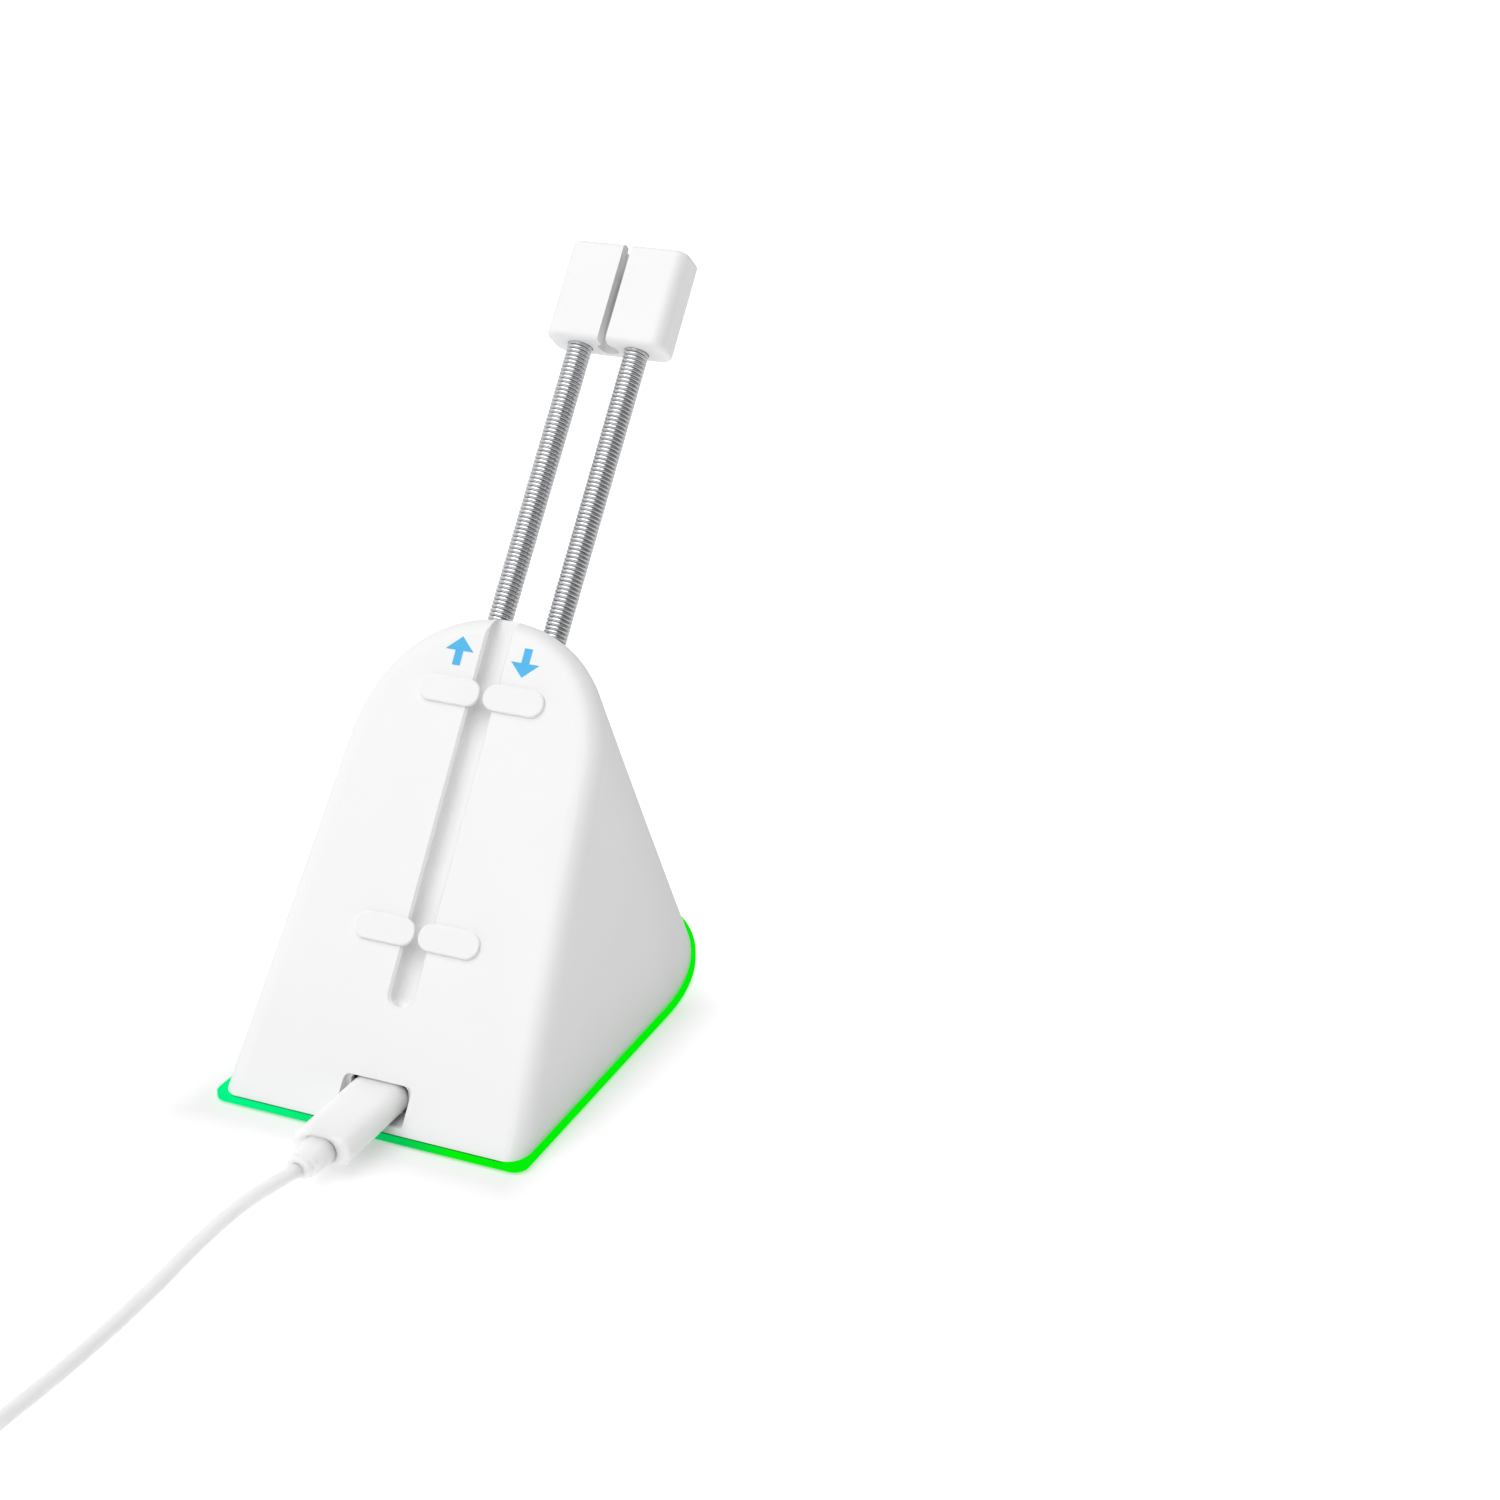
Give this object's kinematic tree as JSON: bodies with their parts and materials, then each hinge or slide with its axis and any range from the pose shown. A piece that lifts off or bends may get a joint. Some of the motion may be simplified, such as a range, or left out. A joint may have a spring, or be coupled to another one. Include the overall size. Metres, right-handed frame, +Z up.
{
  "type": "mouse bungee",
  "caption": "White wedge-shaped desk stand with a lit edge, a clipped cord groove and coil-spring arms whose slotted head holds a mouse cord off the desk.",
  "frame": {"origin": "centre of the housing's footprint on the desk", "axes": "+Z up, -Y towards the side with the cord groove and the plug, +Y the way the arms lean, X across"},
  "size_m": [0.0898, 0.2961, 0.1438],
  "materials": {
    "white_shell": "fine satin moulded",
    "soft_clip": "smooth soft moulded",
    "light_guide": "frosted, lit from inside",
    "plate_plastic": "moulded",
    "pad_silicone": "matte",
    "screw_steel": "zinc plated",
    "ballast_steel": "raw",
    "board": "solder mask",
    "lamp": "clear",
    "black_plastic": "moulded",
    "plug_metal": "nickel plated",
    "pin_steel": "turned",
    "spring_steel": "bright drawn wire",
    "white_plug": "satin moulded",
    "white_cable": "smooth extruded"
  },
  "bodies": {
    "base": {"base_housing": "white_shell", "light_ring": "light_guide", "bottom_plate": "plate_plastic", "anti_slip_pad": "pad_silicone", "housing_screws": "screw_steel", "ballast_weight": "ballast_steel", "ballast_screws": "screw_steel", "led_board": "board", "led_lamps": "lamp", "socket_board": "board", "board_screws": "screw_steel", "board_headers": "black_plastic", "controller_chip": "black_plastic", "usb_socket_shell": "plug_metal", "usb_socket_tongue": "black_plastic", "upper_left_clip": "soft_clip", "upper_right_clip": "soft_clip", "lower_left_clip": "soft_clip", "lower_right_clip": "soft_clip", "spring_holder": "plate_plastic", "holder_screws": "screw_steel", "left_root_pin": "pin_steel", "right_root_pin": "pin_steel", "usb_c_shell": "plug_metal", "usb_c_overmould": "white_plug", "usb_c_strain_relief": "white_plug", "power_cable": "white_cable", "cable_coil": "white_cable", "cable_tie": "black_plastic", "cable_tail": "white_cable", "usb_a_strain_relief": "white_plug", "usb_a_overmould": "white_plug", "usb_a_shell": "plug_metal", "usb_a_insert": "black_plastic"},
    "arm": {"left_spring": "spring_steel", "right_spring": "spring_steel", "left_tip_pin": "pin_steel", "right_tip_pin": "pin_steel", "head_block": "white_shell"}
  },
  "joints": [
    {"name": "arm_sway", "type": "hinge", "parent": "base", "child": "arm", "pos_m": [0, 0.01834, 0.08086], "axis": [-1, 0, 0], "range_deg": [-20, 30], "stiffness_Nm_per_rad": 0.06, "springref_deg": -4.05, "deforming": ["left_spring", "right_spring"]}
  ]
}
